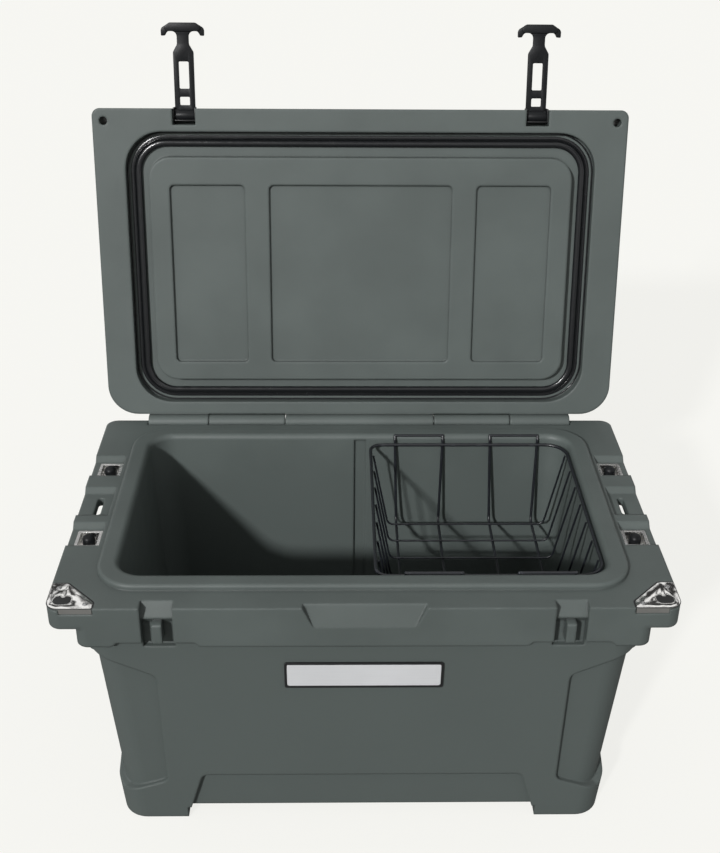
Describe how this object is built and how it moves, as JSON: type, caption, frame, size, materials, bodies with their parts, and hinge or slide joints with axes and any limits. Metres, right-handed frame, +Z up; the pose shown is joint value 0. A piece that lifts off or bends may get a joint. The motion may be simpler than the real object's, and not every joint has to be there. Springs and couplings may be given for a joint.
{
  "type": "hard cooler box",
  "caption": "Hard-walled insulated cooler box with hinged lid, strap latches, rope handles, drain plug, locking corner plates and a hanging wire basket.",
  "frame": {"origin": "on the floor under the middle of the tub", "axes": "+Z up, +X to the right of a person facing the front, -Y is the front; the lid is stored standing open"},
  "size_m": [0.66, 0.5305, 0.8096],
  "materials": {
    "shell": "satin rotomoulded plastic",
    "foam": "closed-cell foam",
    "rubber": "smooth black rubber",
    "steel": "polished stainless steel",
    "trim": "black plastic",
    "badge": "brushed silver",
    "rope": "braided polyester rope",
    "wire": "black coated wire"
  },
  "bodies": {
    "tub": {"tub_shell": "shell", "tub_foam": "foam", "tub_fill_plug": "trim", "foot_pad_front_left": "rubber", "foot_pad_front_right": "rubber", "foot_pad_rear_left": "rubber", "foot_pad_rear_right": "rubber", "corner_plate_left": "steel", "corner_plate_right": "steel", "plate_screws_left": "steel", "plate_screws_right": "steel", "badge_frame": "trim", "badge_plate": "badge", "drain_sleeve": "trim", "drain_washer": "rubber", "drain_nut": "trim", "handle_cup_front_left": "steel", "handle_cup_front_right": "steel", "handle_cup_rear_left": "steel", "handle_cup_rear_right": "steel", "rope_end_front_left": "rubber", "rope_end_front_right": "rubber", "rope_end_rear_left": "rubber", "rope_end_rear_right": "rubber"},
    "lid": {"lid_shell": "shell", "lid_foam": "foam", "lid_gasket": "rubber", "lid_fill_plug": "trim", "hinge_pin_left": "steel", "hinge_pin_right": "steel", "latch_pin_left": "steel", "latch_pin_right": "steel"},
    "latch_left": {"latch_left": "rubber"},
    "latch_right": {"latch_right": "rubber"},
    "handle_left": {"rope_left": "rope", "grip_left": "rubber"},
    "handle_right": {"rope_right": "rope", "grip_right": "rubber"},
    "basket": {"basket_rim": "wire", "basket_ribs": "wire", "basket_hanger_1": "wire", "basket_hanger_2": "wire"},
    "drain_slide": {"drain_seal": "rubber"},
    "drain_plug": {"drain_plug": "trim"}
  },
  "joints": [
    {"name": "lid_hinge", "type": "hinge", "parent": "tub", "child": "lid", "pos_m": [0, 0.199, 0.324], "axis": [-1, 0, 0], "range_deg": [-101, 0]},
    {"name": "latch_left_hinge", "type": "hinge", "parent": "lid", "child": "latch_left", "pos_m": [-0.216, 0.28912, 0.70378], "axis": [-1, 0, 0], "range_deg": [-90, 0]},
    {"name": "latch_right_hinge", "type": "hinge", "parent": "lid", "child": "latch_right", "pos_m": [0.216, 0.28912, 0.70378], "axis": [-1, 0, 0], "range_deg": [-90, 0]},
    {"name": "handle_left_swing", "type": "hinge", "parent": "tub", "child": "handle_left", "pos_m": [-0.3085, 0.008, 0.289], "axis": [0, 1, 0], "range_deg": [0, 80]},
    {"name": "handle_right_swing", "type": "hinge", "parent": "tub", "child": "handle_right", "pos_m": [0.3085, 0.008, 0.289], "axis": [0, -1, 0], "range_deg": [0, 80]},
    {"name": "basket_lift", "type": "slide", "parent": "tub", "child": "basket", "axis": [0, 0, 1], "range_m": [0, 0.16]},
    {"name": "drain_slide", "type": "slide", "parent": "tub", "child": "drain_slide", "axis": [1, 0, 0], "range_m": [0, 0.0091]},
    {"name": "drain_turn", "type": "hinge", "parent": "drain_slide", "child": "drain_plug", "pos_m": [0.285, 0.095, 0.069], "axis": [1, 0, 0], "range_deg": [0, 1080]}
  ],
  "couplings": [
    {"joint": "drain_slide", "follows": "drain_turn", "m_per_rad": 0.00047746}
  ]
}
